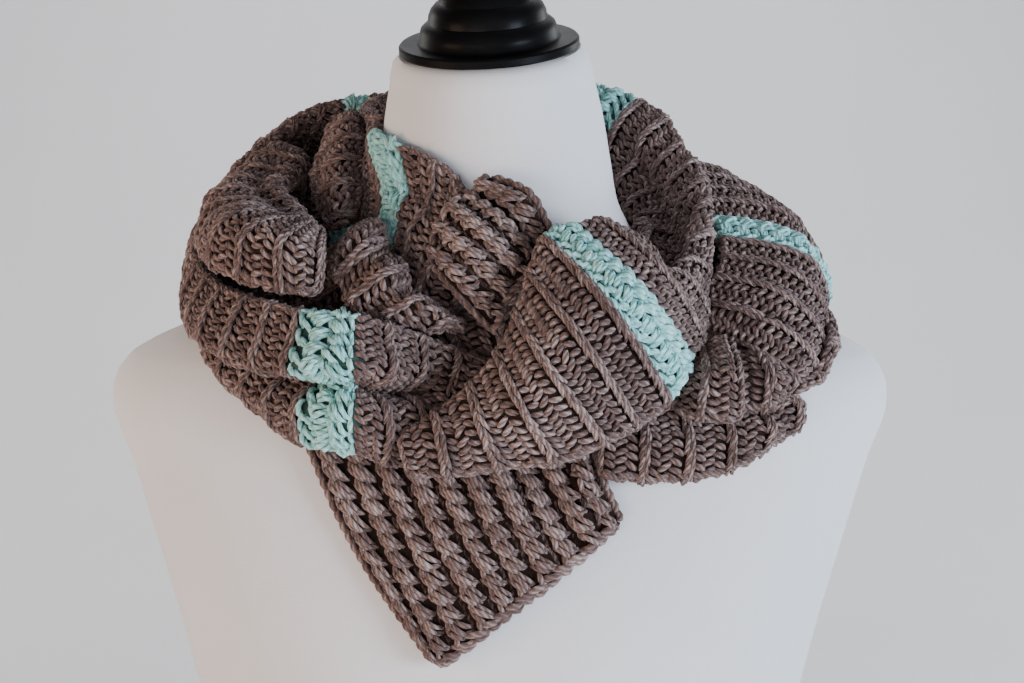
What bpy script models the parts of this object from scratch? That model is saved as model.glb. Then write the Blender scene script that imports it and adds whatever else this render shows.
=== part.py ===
"""A crochet scarf wound twice round the neck of a limbless dress form.

Sizes are in millimetres. X runs to the right of someone who faces the form, Y runs away from them,
and Z is up. Heights in the tables are measured from the shoulder line, and the foot of the form is
SHOULDER_LINE below it. One length of cloth makes every stretch of the scarf: from the end that hangs
at the chest it goes under the front, over the right shoulder, round the back and the left shoulder,
across the front, round the neck again, and ends in the middle of the throat.
"""

import math
from collections import namedtuple

import bmesh
import bpy
import numpy as np

MM = 0.001
SHOULDER_LINE = 530.0

# The cloth
CLOTH_WALL = 4.0
REST_GAP = 0.6
SEAM_GAP = 1.0
SLOPE_REACH = 1.5
RIDGE_PITCH = 20.0
RIDGE_HALF_WIDTH = 2.6
RIDGE_HEIGHT = 1.7
GROOVE_PITCH = 10.2
GROOVE_DEPTH = 1.5
RIB_PITCH = 11.5
RIB_HEIGHT = 2.6
SHARP_ANGLE = 30
FINE_POINTS = 25
CURL_STEPS = 6
EDGE_SHARE = 0.25
SHORT_FOLD = 0.5
ROW_WIDTHS = 5

# The form
FORM_SIDES = 36
TORSO_SQUARENESS = 2.3
NECK_SQUARENESS = 2.0
NECK_ROOT = 5.0
NECK_FOOT = 52.0
NECK_TOP = 145.0
NECK_LEAN_X = -5.0
CAP_TILT_FORWARD = 12.5
CAP_TILT_SIDE = 3.4
CAP_GAP = 0.3
CAP_SIDES = 20

FormRing = namedtuple("FormRing", "height half_width front back")
FORM_RINGS = (
    FormRing(-530, 154, 96, 102),
    FormRing(-524, 158, 100, 106),
    FormRing(-460, 161, 103, 108),
    FormRing(-385, 146, 94, 98),
    FormRing(-320, 129, 86, 86),
    FormRing(-250, 137, 99, 88),
    FormRing(-190, 147, 110, 93),
    FormRing(-140, 159, 111, 97),
    FormRing(-95, 172, 105, 97),
    FormRing(-55, 184, 95, 93),
    FormRing(-28, 193, 86, 88),
    FormRing(-12, 190, 79, 84),
    FormRing(-3, 182, 74, 80),
    FormRing(5, 167, 70, 77),
    FormRing(14, 144, 66, 75),
    FormRing(23, 118, 62, 73),
    FormRing(32, 96, 59, 71),
    FormRing(42, 79, 56, 69),
    FormRing(53, 68, 53, 65),
    FormRing(68, 60, 51, 60),
    FormRing(88, 57, 51, 54),
    FormRing(112, 54, 51, 47),
    FormRing(132, 50, 51, 42),
    FormRing(142, 48, 50, 39),
    FormRing(145, 45, 47, 36),
)

# The turned cap, each a radius and a height above its own foot
Turn = namedtuple("Turn", "radius height")
CAP_PROFILE = (
    Turn(43.5, 0), Turn(44.5, 1), Turn(44.5, 3.8), Turn(43.6, 4.8), Turn(35.5, 5.0), Turn(34.4, 6.2),
    Turn(34.2, 9), Turn(33.0, 12.5), Turn(30.6, 14.6), Turn(29.4, 15.2), Turn(29.0, 18.5),
    Turn(27.6, 21.6), Turn(25.4, 24), Turn(23.8, 24.8), Turn(22.6, 28), Turn(19, 31.5), Turn(14.5, 33.6),
)
KNOB_PROFILE = (
    Turn(12.5, 0), Turn(11.4, 2.5), Turn(11.2, 6), Turn(13.2, 8.4), Turn(16.6, 11.4), Turn(18.6, 16),
    Turn(19.0, 20.5), Turn(17.6, 26), Turn(13.8, 30.6), Turn(8.0, 33.4),
)
CAP_HEIGHT = 33.6

# Each run of cloth goes along its rows, and each row is one line across the cloth
OuterRow = namedtuple("OuterRow", "top upper lower hem")
Row = namedtuple("Row", "neck_edge middle free_edge")
Curl = namedtuple("Curl", "radius turn")
Fold = namedtuple("Fold", "start_row start_across end_row end_across depth half_width")
NO_CURL = Curl(0, 0)

# The outer wrap: the right shoulder, the back, the left shoulder, and the left front
OUTER_WRAP = (
    OuterRow((100, -60, 13), (124, -78, 6), (143, -70, -9), (139, -62, -18)),
    OuterRow((98, -52, 27), (128, -70, 21), (150, -57, -4), (147, -49, -13)),
    OuterRow((107, -43, 41), (133, -52, 36), (156, -38, 9), (153, -30, 0)),
    OuterRow((109, -20, 56), (137, -22, 50), (161, -15, 26), (158, -6, 8)),
    OuterRow((104, 6, 67), (134, 4, 62), (160, 2, 40), (158, 8, 10)),
    OuterRow((98, 34, 78), (127, 38, 74), (150, 32, 57), (149, 32, 18)),
    OuterRow((88, 66, 92), (107, 76, 84), (127, 74, 62), (125, 68, 22)),
    OuterRow((68, 92, 106), (79, 106, 86), (88, 106, 56), (84, 84, 20)),
    OuterRow((36, 104, 112), (40, 120, 88), (42, 118, 54), (40, 84, 22)),
    OuterRow((0, 108, 116), (0, 126, 90), (0, 123, 56), (0, 84, 24)),
    OuterRow((-36, 106, 119), (-38, 124, 92), (-38, 121, 58), (-36, 83, 26)),
    OuterRow((-70, 98, 120), (-77, 116, 92), (-77, 114, 58), (-73, 80, 24)),
    OuterRow((-100, 84, 114), (-113, 102, 86), (-114, 100, 52), (-107, 74, 16)),
    OuterRow((-124, 64, 98), (-139, 82, 74), (-140, 80, 44), (-131, 60, 10)),
    OuterRow((-143, 42, 76), (-154, 54, 54), (-153, 50, 28), (-144, 40, 6)),
    OuterRow((-152, 6, 53), (-156, 4, 37), (-153, 0, 20), (-146, -6, 8)),
    OuterRow((-147, -32, 42), (-152, -40, 25), (-147, -46, 10), (-140, -46, 2)),
    OuterRow((-132, -66, 34), (-140, -76, 17), (-136, -80, 0), (-127, -74, -12)),
    OuterRow((-112, -91, 30), (-118, -99, 13), (-116, -101, -8), (-109, -90, -24)),
    OuterRow((-90, -109, 27), (-92, -119, 10), (-92, -119, -14), (-91, -108, -32)),
    OuterRow((-64, -120, 26), (-64, -130, 9), (-64, -131, -16), (-64, -122, -34)),
    OuterRow((-40, -108, 17), (-40, -117, 0), (-40, -119.8, -24), (-41.4, -115.8, -39.6)),
    OuterRow((-20, -100, 8), (-20, -106, -6), (-21, -107, -21), (-22, -107, -33)),
    OuterRow((0, -93, 0), (0, -97, -9), (0, -99, -16), (0, -100, -23)),
)
OUTER_NODES = (("outer_right", 0, 6), ("back_wrap", 6, 13), ("left_side", 13, 17), ("front_left", 17, 23))
OUTER_FOLDS = (
    Fold(0.3, 0.15, 1.3, 0.52, -4, 0.09),
    Fold(2.2, 0.50, 4.6, 0.40, 3, 0.12),
    Fold(6.5, 0.58, 9.5, 0.50, -7, 0.08),
    Fold(9.0, 0.30, 13.0, 0.40, -6, 0.08),
    Fold(10.0, 0.72, 14.5, 0.66, 5, 0.10),
    Fold(16.4, 0.64, 19.2, 0.52, -8, 0.07),
    Fold(18.6, 0.53, 21.6, 0.40, -9, 0.08),
    Fold(19.0, 0.34, 21.2, 0.26, 4, 0.10),
    Fold(21.0, 0.40, 22.5, 0.20, -5, 0.10),
    Fold(19.5, 0.76, 21.8, 0.72, 3, 0.12),
)

# The inner wrap: the right front, the right of the neck, the nape, and the left of the neck
INNER_WRAP = (
    Row((-43, -130, -30), (-42, -132, -36), (-40, -129, -43)),
    Row((-23, -127, -16), (-19, -136, -29), (-17, -130, -42)),
    Row((-9, -126, -4), (-3, -139, -20), (6, -131, -38)),
    Row((1, -122, 10), (13, -142, -12), (27, -133, -36)),
    Row((9, -114, 28), (27, -140, 3), (49, -129, -27)),
    Row((16, -104, 45), (39, -134, 18), (63, -121, -20)),
    Row((23, -92, 59), (51, -125, 32), (78, -109, -11)),
    Row((39, -82, 64), (66, -111, 41), (89, -89, 7)),
    Row((53, -70, 65), (78, -92, 49), (97, -68, 15)),
    Row((66, -54, 53), (86, -64, 50), (99, -53, 40)),
    Row((66, -26, 50), (85, -30, 55), (100, -20, 65)),
    Row((63, 6, 58), (79, 8, 73), (96, 20, 87)),
    Row((57, 34, 72), (69, 42, 98), (84, 58, 110)),
    Row((42, 60, 78), (52, 66, 110), (62, 84, 121)),
    Row((0, 68, 80), (0, 76, 111), (0, 92, 124)),
    Row((-37, 62, 81), (-44, 70, 109), (-56, 84, 121)),
    Row((-57, 36, 70), (-60, 42, 96), (-66, 56, 113)),
    Row((-63, 2, 63), (-60, 14, 90), (-61, 28, 108)),
    Row((-59, -28, 57), (-54, -14, 84), (-50, 4, 101)),
    Row((-52, -54, 44), (-43, -42, 71), (-36, -26, 92)),
    Row((-44, -72, 30), (-32, -63, 58), (-23, -47, 82)),
    Row((-34, -84, 20), (-24, -74, 46), (-14, -57, 71)),
    Row((-22, -78, 28), (-12, -78, 46), (-2, -62, 68)),
)
INNER_NODES = (("front_right", 0, 9), ("right_collar", 9, 13), ("nape_collar", 13, 15), ("left_collar", 15, 22))
INNER_FOLDS = (
    Fold(9.4, 0.20, 10.4, 0.85, -5, 0.09),
    Fold(11.2, 0.15, 11.6, 0.85, -3, 0.08),
    Fold(17.5, 0.60, 20.5, 0.45, -4, 0.10),
)

LEFT_ROLL = (
    Row((-102, 50, 92), (-116, 61, 96), (-127, 59, 85)),
    Row((-108, 18, 84), (-130, 26, 82), (-139, 25, 68)),
    Row((-112, -14, 79), (-141, -4, 72), (-146, 0, 60)),
    Row((-101, -40, 71), (-135, -41, 66), (-142, -41, 51)),
    Row((-92, -58, 65), (-119, -80, 62), (-125, -80, 45)),
    Row((-89, -71, 64), (-102, -96, 55), (-104, -97, 39)),
    Row((-84, -76, 62), (-88, -101, 51), (-88, -101, 37)),
    Row((-80, -74, 58), (-79, -93, 48), (-80, -93, 37)),
)
LEFT_ROLL_FOLDS = (
    Fold(1.0, 0.30, 3.6, 0.22, -4, 0.10),
    Fold(3.2, 0.80, 5.4, 0.66, 3, 0.12),
)
LEFT_HIDDEN = (
    Row((-64, 62, 40), (-92, 64, 30), (-122, 50, 16)),
    Row((-74, 22, 49), (-98, 22, 34), (-136, 12, 14)),
    Row((-75, -18, 51), (-98, -22, 35), (-136, -20, 13)),
    Row((-64, -46, 38), (-86, -52, 20), (-118, -52, 4)),
    Row((-42, -66, 16), (-62, -74, 2), (-86, -76, -12)),
)
COLLAR_LOBE = (
    Row((-77, 51, 113), (-82, 44, 114), (-91, 50, 106)),
    Row((-72, 24, 102), (-80, 14, 104), (-94, 28, 92)),
    Row((-68, 0, 88), (-81, -10, 90), (-96, 6, 81)),
    Row((-71, -18, 76), (-80, -29, 76), (-92, -13, 69)),
    Row((-74, -33, 64), (-78, -38, 65), (-84, -31, 61)),
)
RIGHT_BULGE = (
    Row((85, -66, 1), (84, -86, -9), (82, -86, -21)),
    Row((97, -67, 7), (97, -98, -6), (94, -95, -24)),
    Row((104, -72, 11), (106, -101, -3), (106, -94, -25)),
    Row((115, -76, 6), (117, -88, -5), (117, -85, -22)),
    Row((127, -78, 1), (131, -86, -7), (129, -82, -19)),
    Row((135, -72, -6), (139, -73, -11), (137, -71, -16)),
)
RIGHT_BULGE_FOLDS = (
    Fold(2.9, 0.0, 3.0, 1.0, -5, 0.06),
)
LOWER_FLAP = (
    Row((51, -90, -22), (51, -106, -33), (50, -111, -46)),
    Row((80, -83, -20), (82, -103, -36), (80, -107, -49)),
    Row((104, -79, -21), (107, -96, -35), (106, -100, -46)),
    Row((128, -74, -22), (133, -84, -29), (130, -86, -37)),
    Row((142, -66, -18), (146, -70, -24), (143, -68, -30)),
)
TAIL_FRONT = (
    Row((-90, -88, -32), (-67, -103, -81), (-31, -116, -133)),
    Row((-74, -90, -32), (-52, -107, -81), (-26, -119, -133)),
    Row((-44, -93, -35), (-27, -111, -73), (-4, -120, -116)),
    Row((-13, -94, -37), (1, -111, -65), (18, -118, -99)),
    Row((14, -93, -36), (24, -108, -58), (39, -114, -83)),
    Row((41, -92, -32), (46, -103, -50), (55, -107, -70)),
)
TAIL_FRONT_FOLDS = (
    Fold(4.2, 0.98, 4.8, 0.30, 5, 0.09),
    Fold(3.7, 0.20, 4.0, 0.90, -3, 0.06),
)
CENTRE_FOLDS = (
    Row((-64, -40, 62), (-71, -52, 59), (-79, -54, 50)),
    Row((-57, -62, 61), (-67, -82, 57), (-76, -79, 43)),
    Row((-48, -78, 51), (-57, -96, 49), (-73, -94, 36)),
    Row((-40, -88, 38), (-50, -104, 38), (-64, -104, 29)),
    Row((-29, -93, 29), (-37, -106, 31), (-48, -107, 25)),
    Row((-17, -94, 21), (-23, -101, 22), (-30, -101, 18)),
)
CENTRE_CREASES = (
    Fold(1.6, 0.00, 1.7, 1.00, -6, 0.07),
    Fold(3.1, 0.00, 3.2, 1.00, -5, 0.06),
    Fold(0.9, 0.30, 1.0, 0.80, 4, 0.10),
)
TAIL_CENTRE = (
    Row((-31, -86, 50), (-17, -101, 36), (0, -98, 19)),
    Row((-29, -78, 64), (-11, -98, 50), (6, -95, 33)),
    Row((-17, -71, 80), (2, -90, 66), (18, -86, 47)),
    Row((-4, -66, 88), (15, -79, 79), (26, -78, 59)),
)
THROAT_FOLD = (
    Row((-50, -74, 24), (-44, -84, 17), (-40, -92, 12)),
    Row((-28, -78, 24), (-24, -84, 16), (-20, -90, 9)),
    Row((2, -80, 24), (3, -84, 14), (4, -87, 5)),
)

# How far each loose fold is moved to lie against the cloth or the form behind it
SETTLES = {
    "tail_centre": (-0.6, 4.3, -2.1),
    "throat_fold": (0.1, -1.7, -1.3),
    "lower_flap": (-2.0, 4.2, -1.8),
    "left_roll": (-1.8, 0.3, 1.5),
    "collar_lobe": (2.5, 0.1, -0.3),
    "centre_folds": (1.2, 1.0, -1.5),
}


def distances(points):
    """Distance of each point along the line through them."""
    steps = np.linalg.norm(np.diff(points, axis=0), axis=1)
    return np.concatenate([[0.0], np.cumsum(steps)])


def smooth_through(knots, values, places):
    """A smooth curve through the values at the knots, read at the places."""
    slopes = np.gradient(values, knots, axis=0)
    left = np.clip(np.searchsorted(knots, places, side="right") - 1, 0, len(knots) - 2)
    gap = (knots[left + 1] - knots[left]).reshape((-1,) + (1,) * (values.ndim - 1))
    t = (places - knots[left]).reshape(gap.shape) / gap
    return (
        (2 * t**3 - 3 * t**2 + 1) * values[left]
        + (t**3 - 2 * t**2 + t) * gap * slopes[left]
        + (3 * t**2 - 2 * t**3) * values[left + 1]
        + (t**3 - t**2) * gap * slopes[left + 1]
    )


def form_ring(height):
    """Half width, front and back reach, and squareness of the form at some heights."""
    table = np.array(FORM_RINGS, float)
    sizes = smooth_through(table[:, 0], table[:, 1:], np.clip(height, table[0, 0], table[-1, 0]))
    into_neck = np.clip((height - NECK_ROOT) / (NECK_FOOT - NECK_ROOT), 0, 1)
    squareness = TORSO_SQUARENESS + (NECK_SQUARENESS - TORSO_SQUARENESS) * into_neck
    return sizes, squareness


def outside_form(points):
    """How far points lie outside the form, roughly, in millimetres."""

    def level(p):
        sizes, squareness = form_ring(p[:, 2])
        depth = np.where(p[:, 1] < 0, sizes[:, 1], sizes[:, 2])
        across = np.abs(p[:, 0]) / sizes[:, 0]
        along = np.abs(p[:, 1]) / depth
        return (across**squareness + along**squareness) ** (1 / squareness) - 1

    step = 0.5
    here = level(points)
    slope = np.stack([(level(points + step * axis) - level(points - step * axis)) / (2 * step)
                      for axis in np.eye(3)], axis=1)
    steep = np.maximum(np.linalg.norm(slope, axis=1), 1e-4)
    return here / steep, slope / steep[:, None]


def rest_on_form(grid, clearance):
    """The cloth's points, with those too near the form moved out to lie on it."""
    points = grid.reshape(-1, 3).copy()
    for _ in range(4):
        distance, way = outside_form(points)
        points += way * np.clip(clearance - distance, 0, None)[:, None]
    return points.reshape(grid.shape)


def normals_of(grid):
    """Unit vectors out of the cloth's showing face."""
    along = np.gradient(grid, axis=0)
    across = np.gradient(grid, axis=1)
    normal = np.cross(across, along)
    return normal / np.maximum(np.linalg.norm(normal, axis=2, keepdims=True), 1e-9)


def curl_edge(edge, inward, normal, curl, count):
    """Points that carry a row on past its edge, round a curl to the hidden side."""
    turns = np.radians(np.linspace(0, curl.turn, count + 1))[1:]
    return [edge - inward * curl.radius * math.sin(a) + normal * curl.radius * (math.cos(a) - 1)
            for a in turns]


def row_distances(rows):
    """Distance of each row from the first, along the second of the points across the cloth."""
    return distances(np.array(rows, float)[:, 1])


def lay_cloth(rows, places, across_count, neck_curl, free_curl):
    """A grid of points on the cloth's showing face, at distances along its rows."""
    rails = np.array(rows, float)
    guides = smooth_through(row_distances(rows), rails, places)
    fine = np.array([smooth_through(distances(g), g, np.linspace(0, distances(g)[-1], FINE_POINTS))
                     for g in guides])
    normals = normals_of(fine)
    grid = []
    for line, normal in zip(fine, normals):
        start_way = (line[1] - line[0]) / np.linalg.norm(line[1] - line[0])
        end_way = (line[-2] - line[-1]) / np.linalg.norm(line[-2] - line[-1])
        start = curl_edge(line[0], start_way, normal[0], neck_curl, CURL_STEPS) if neck_curl.turn else []
        end = curl_edge(line[-1], end_way, normal[-1], free_curl, CURL_STEPS) if free_curl.turn else []
        whole = np.array(start[::-1] + list(line) + end)
        length = distances(whole)
        across = np.linspace(0, length[-1], across_count)
        grid.append(np.stack([np.interp(across, length, whole[:, k]) for k in range(3)], axis=1))
    return np.array(grid)


def fold_height(folds, row_number, across):
    """How far the folds lift or sink the cloth, by row number and share of the way across."""
    height = np.zeros(np.broadcast(row_number, across).shape)
    for fold in folds:
        rows_long = max(fold.end_row - fold.start_row, 1e-6)
        share = (row_number - fold.start_row) / rows_long
        if rows_long < SHORT_FOLD:
            off = (row_number - fold.start_row - rows_long * across) / (fold.half_width * ROW_WIDTHS)
            fade = np.ones(height.shape)
        else:
            line = fold.start_across + (fold.end_across - fold.start_across) * share
            off = (across - line) / fold.half_width
            fade = np.clip(np.minimum(share + 0.2, 1.2 - share) / 0.4, 0, 1)
        height = height + fold.depth * np.exp(-off**2) * fade**2 * (3 - 2 * fade)
    return height


def raised_rows(length):
    """Places for narrow raised rows: the foot, crest and foot of each, and their lift."""
    count = max(1, round(length / RIDGE_PITCH))
    pitch = length / count
    places, lift = [0.0], [0.0]
    for k in range(count):
        crest = (k + 0.5) * pitch
        places += [crest - RIDGE_HALF_WIDTH, crest, crest + RIDGE_HALF_WIDTH]
        lift += [0.0, RIDGE_HEIGHT, 0.0]
    return np.array(places + [length]), np.array(lift + [0.0])


def even_ribs(length, pitch, height):
    """Places for even ribs, a crest and a groove for each, and their lift."""
    count = max(1, round(length / pitch))
    return np.linspace(0, length, 2 * count + 1), np.where(np.arange(2 * count + 1) % 2, height, 0.0)


def grooved_rows(length):
    return even_ribs(length, GROOVE_PITCH, GROOVE_DEPTH)


def ribbed_rows(length):
    return even_ribs(length, RIB_PITCH, RIB_HEIGHT)


def cloth_material(name, colour):
    """Wool yarn: rough, with no shine."""
    material = bpy.data.materials.new(name)
    material.use_nodes = True
    shader = material.node_tree.nodes["Principled BSDF"]
    shader.inputs["Base Color"].default_value = (*colour, 1)
    shader.inputs["Roughness"].default_value = 0.92
    shader.inputs["Metallic"].default_value = 0.0
    return material


def shiny_material(name, colour, roughness):
    """Painted or bare surfaces of the form."""
    material = cloth_material(name, colour)
    material.node_tree.nodes["Principled BSDF"].inputs["Roughness"].default_value = roughness
    return material


def place(name, mesh, material, collection):
    """A named object in the collection, smooth where its faces meet gently."""
    obj = bpy.data.objects.new(name, mesh)
    collection.objects.link(obj)
    mesh.materials.append(material)
    mesh.shade_smooth()
    mesh.set_sharp_from_angle(angle=math.radians(SHARP_ANGLE))
    return obj


def loft(name, showing, hidden):
    """A closed wall between a showing and a hidden grid of points."""
    count, width = showing.shape[:2]
    lift = np.array([0, 0, SHOULDER_LINE])
    mesh = bmesh.new()
    faces = []
    for grid in (showing, hidden):
        faces.append([[mesh.verts.new((p + lift) * MM) for p in line] for line in grid])
    front, back = faces
    for i in range(count - 1):
        for j in range(width - 1):
            mesh.faces.new((front[i][j], front[i][j + 1], front[i + 1][j + 1], front[i + 1][j]))
            mesh.faces.new((back[i][j], back[i + 1][j], back[i + 1][j + 1], back[i][j + 1]))
    rim = ([(i, 0) for i in range(count - 1)] + [(count - 1, j) for j in range(width - 1)]
           + [(i, width - 1) for i in range(count - 1, 0, -1)] + [(0, j) for j in range(width - 1, 0, -1)])
    for (i, j), (k, m) in zip(rim, rim[1:] + rim[:1]):
        mesh.faces.new((front[i][j], front[k][m], back[k][m], back[i][j]))
    bmesh.ops.recalc_face_normals(mesh, faces=mesh.faces)
    data = bpy.data.meshes.new(name)
    mesh.to_mesh(data)
    mesh.free()
    return data


def stretch(name, rows, surface, across_count, material, collection, first_row=0, last_row=None,
            neck_curl=NO_CURL, free_curl=NO_CURL, folds=()):
    """One stretch of the scarf: a wall on its rows, with its folds, and its raised rows on the face."""
    rows = np.array(rows, float) + SETTLES.get(name, (0, 0, 0))
    row_at = row_distances(rows)
    last_row = len(rows) - 1 if last_row is None else last_row
    start = row_at[first_row] + (SEAM_GAP / 2 if first_row else 0)
    end = row_at[last_row] - (SEAM_GAP / 2 if last_row < len(rows) - 1 else 0)
    places, lift = surface(end - start)
    beside = np.array([-SLOPE_REACH, 0, SLOPE_REACH])
    reached = (places[:, None] + start + beside).ravel()
    grid = lay_cloth(rows, reached, across_count, neck_curl, free_curl)
    row_number = np.interp(reached, row_at, np.arange(len(rows)))[:, None]
    across = np.linspace(0, 1, across_count)[None, :]
    grid = grid + normals_of(grid) * fold_height(folds, row_number, across)[:, :, None]
    grid = rest_on_form(grid, CLOTH_WALL + REST_GAP)
    grid, normals = grid[1::3], normals_of(grid)[1::3]
    hidden = grid - normals * CLOTH_WALL
    edge_fade = np.minimum(1, np.minimum(across, 1 - across) / EDGE_SHARE)
    showing = grid + normals * (lift[:, None] * edge_fade)[:, :, None]
    return place(name, loft(name, showing, hidden), material, collection)


def neck_pose(height):
    """Centre shift and tilt share of the form's neck at a height."""
    share = min(max((height - NECK_FOOT) / (NECK_TOP - NECK_FOOT), 0), 1)
    return NECK_LEAN_X * share, share


def form_mesh():
    """The torso and neck, as rings joined from a flat foot to the top of the neck."""
    mesh = bmesh.new()
    rings = []
    turns = [2 * math.pi * k / FORM_SIDES for k in range(FORM_SIDES)]
    for ring in FORM_RINGS:
        _, squareness = form_ring(np.array([float(ring.height)]))
        power = 2 / squareness[0]
        shift, share = neck_pose(ring.height)
        line = []
        for turn in turns:
            c, s = math.cos(turn), math.sin(turn)
            x = math.copysign(abs(c) ** power, c) * ring.half_width
            y = math.copysign(abs(s) ** power, s) * (ring.back if s > 0 else ring.front)
            drop = y * math.sin(math.radians(CAP_TILT_FORWARD)) + x * math.sin(math.radians(CAP_TILT_SIDE))
            z = ring.height + SHOULDER_LINE + drop * share
            line.append(mesh.verts.new(((x + shift) * MM, y * MM, z * MM)))
        rings.append(line)
    for low, high in zip(rings, rings[1:]):
        for k in range(FORM_SIDES):
            m = (k + 1) % FORM_SIDES
            mesh.faces.new((low[k], low[m], high[m], high[k]))
    mesh.faces.new(rings[0][::-1])
    mesh.faces.new(rings[-1])
    bmesh.ops.recalc_face_normals(mesh, faces=mesh.faces)
    data = bpy.data.meshes.new("dress_form")
    mesh.to_mesh(data)
    mesh.free()
    return data


def turned(name, profile, lift, material, collection):
    """A turned piece on the tilted top of the neck, its foot lifted above the neck's top."""
    mesh = bmesh.new()
    line = [Turn(0, profile[-1].height)] + list(profile[::-1]) + [Turn(0, profile[0].height)]
    points = [mesh.verts.new((turn.radius * MM, 0, turn.height * MM)) for turn in line]
    for first, second in zip(points, points[1:]):
        mesh.edges.new((first, second))
    data = bpy.data.meshes.new(name)
    mesh.to_mesh(data)
    mesh.free()
    obj = place(name, data, material, collection)
    screw = obj.modifiers.new("turn", "SCREW")
    screw.steps = screw.render_steps = CAP_SIDES
    screw.use_merge_vertices = True
    screw.merge_threshold = 0.00005
    obj.rotation_euler = (math.radians(CAP_TILT_FORWARD), -math.radians(CAP_TILT_SIDE), 0)
    foot = np.array([NECK_LEAN_X, (FORM_RINGS[-1].back - FORM_RINGS[-1].front) / 2 + 1.5, NECK_TOP])
    up = np.array([math.sin(math.radians(-CAP_TILT_SIDE)), -math.sin(math.radians(CAP_TILT_FORWARD)), 1])
    up = up / np.linalg.norm(up)
    obj.location = (foot + np.array([0, 0, SHOULDER_LINE - 1]) + up * (lift + 1)) * MM
    return obj


def main():
    for obj in list(bpy.data.objects):
        bpy.data.objects.remove(obj)
    collection = bpy.data.collections.new("crochet_scarf_on_dress_form")
    bpy.context.scene.collection.children.link(collection)

    yarn = cloth_material("mocha wool", (0.19, 0.125, 0.105))
    jersey = shiny_material("white jersey", (0.78, 0.77, 0.76), 0.7)
    wood = shiny_material("black lacquered wood", (0.012, 0.011, 0.011), 0.18)

    place("dress_form", form_mesh(), jersey, collection)
    turned("neck_cap", CAP_PROFILE, CAP_GAP, wood, collection)
    turned("cap_knob", KNOB_PROFILE, CAP_HEIGHT + 2 * CAP_GAP, wood, collection)

    edge, soft = Curl(5, 70), Curl(7, 95)
    for name, first, last in OUTER_NODES:
        surface = grooved_rows if name == "outer_right" else raised_rows
        stretch(name, OUTER_WRAP, surface, 8, yarn, collection, first, last,
                free_curl=edge, folds=OUTER_FOLDS)
    for name, first, last in INNER_NODES:
        stretch(name, INNER_WRAP, raised_rows, 7, yarn, collection, first, last,
                neck_curl=edge, free_curl=edge, folds=INNER_FOLDS)
    stretch("left_roll", LEFT_ROLL, raised_rows, 7, yarn, collection,
            neck_curl=soft, free_curl=edge, folds=LEFT_ROLL_FOLDS)
    stretch("left_hidden", LEFT_HIDDEN, raised_rows, 5, yarn, collection)
    stretch("collar_lobe", COLLAR_LOBE, raised_rows, 6, yarn, collection)
    stretch("centre_folds", CENTRE_FOLDS, raised_rows, 6, yarn, collection, folds=CENTRE_CREASES)
    stretch("throat_fold", THROAT_FOLD, raised_rows, 4, yarn, collection)
    stretch("right_bulge", RIGHT_BULGE, raised_rows, 6, yarn, collection, folds=RIGHT_BULGE_FOLDS)
    stretch("lower_flap", LOWER_FLAP, grooved_rows, 5, yarn, collection)
    stretch("tail_front", TAIL_FRONT, ribbed_rows, 9, yarn, collection, folds=TAIL_FRONT_FOLDS)
    stretch("tail_centre", TAIL_CENTRE, ribbed_rows, 7, yarn, collection)


main()
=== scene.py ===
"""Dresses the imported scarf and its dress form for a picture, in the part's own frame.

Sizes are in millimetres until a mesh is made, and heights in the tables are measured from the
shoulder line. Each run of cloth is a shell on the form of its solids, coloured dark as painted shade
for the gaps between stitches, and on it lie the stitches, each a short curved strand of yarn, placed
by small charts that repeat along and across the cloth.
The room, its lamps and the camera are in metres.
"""

import math
from collections import namedtuple

import bmesh
import bpy
import numpy as np
from mathutils import Euler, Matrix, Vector
from mathutils.bvhtree import BVHTree


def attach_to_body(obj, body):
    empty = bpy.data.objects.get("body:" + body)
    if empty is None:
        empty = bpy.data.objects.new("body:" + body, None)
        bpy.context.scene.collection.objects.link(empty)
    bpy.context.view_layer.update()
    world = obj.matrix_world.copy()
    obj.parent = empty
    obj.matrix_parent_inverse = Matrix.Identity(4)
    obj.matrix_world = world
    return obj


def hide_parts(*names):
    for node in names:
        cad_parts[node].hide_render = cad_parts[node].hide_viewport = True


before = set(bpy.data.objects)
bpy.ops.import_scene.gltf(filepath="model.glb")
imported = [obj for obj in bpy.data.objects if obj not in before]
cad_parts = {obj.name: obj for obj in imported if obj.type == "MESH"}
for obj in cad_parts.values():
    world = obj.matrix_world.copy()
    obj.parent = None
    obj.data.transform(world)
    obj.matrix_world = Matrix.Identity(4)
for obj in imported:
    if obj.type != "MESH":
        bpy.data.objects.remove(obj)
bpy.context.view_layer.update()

MM = 0.001
TINY = 1e-9
SHOULDER_LINE = 530.0

# The cloth's wall, and how finely its runs are worked out
CLOTH_WALL = 4.0
REST_GAP = 0.6
REST_ROUNDS = 4
SLOPE_STEP = 0.5
LEAST_SLOPE = 1e-4
SHELL_HALF = 1.1
SHELL_SKIP = 2
STATION_STEP = 3.0
FEWEST_STATIONS = 6
LOOP_POINTS = 96
ACROSS_POINTS = 33
CURL_STEPS = 6
RIM_TURNS = np.radians([30, 60, 90, 120, 150])
STRETCH_LIMITS = (0.35, 3)

# Folds, and the soft unevenness between them
SHORT_FOLD = 0.5
ROW_WIDTHS = 5
FOLD_FADE = 0.2
BROAD_SLACK = 0.55
FINE_SLACK = 0.35

# The strands of yarn, and how unevenly they are worked
RIDGE_PITCH = 20.0
RIB_PITCH = 11.5
RINGS = 5
SIDES = 5
TAPER = np.array([0.66, 0.98, 1.08, 0.98, 0.66])
ANGLE_JITTER = 6.0
LENGTH_JITTER = 0.06
PLACE_JITTER = 0.22
BOW_TURN = 0.98
BOW_POWER = 0.7
THICKNESS_LIMITS = (0.6, 1.6)
END_REACH = 0.62
END_BOW = 1.4
END_UP = (0.1, -0.7, 0.7)
PAST_END = 9
PLIES = 3
PLY_TURN = 0.085

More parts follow.
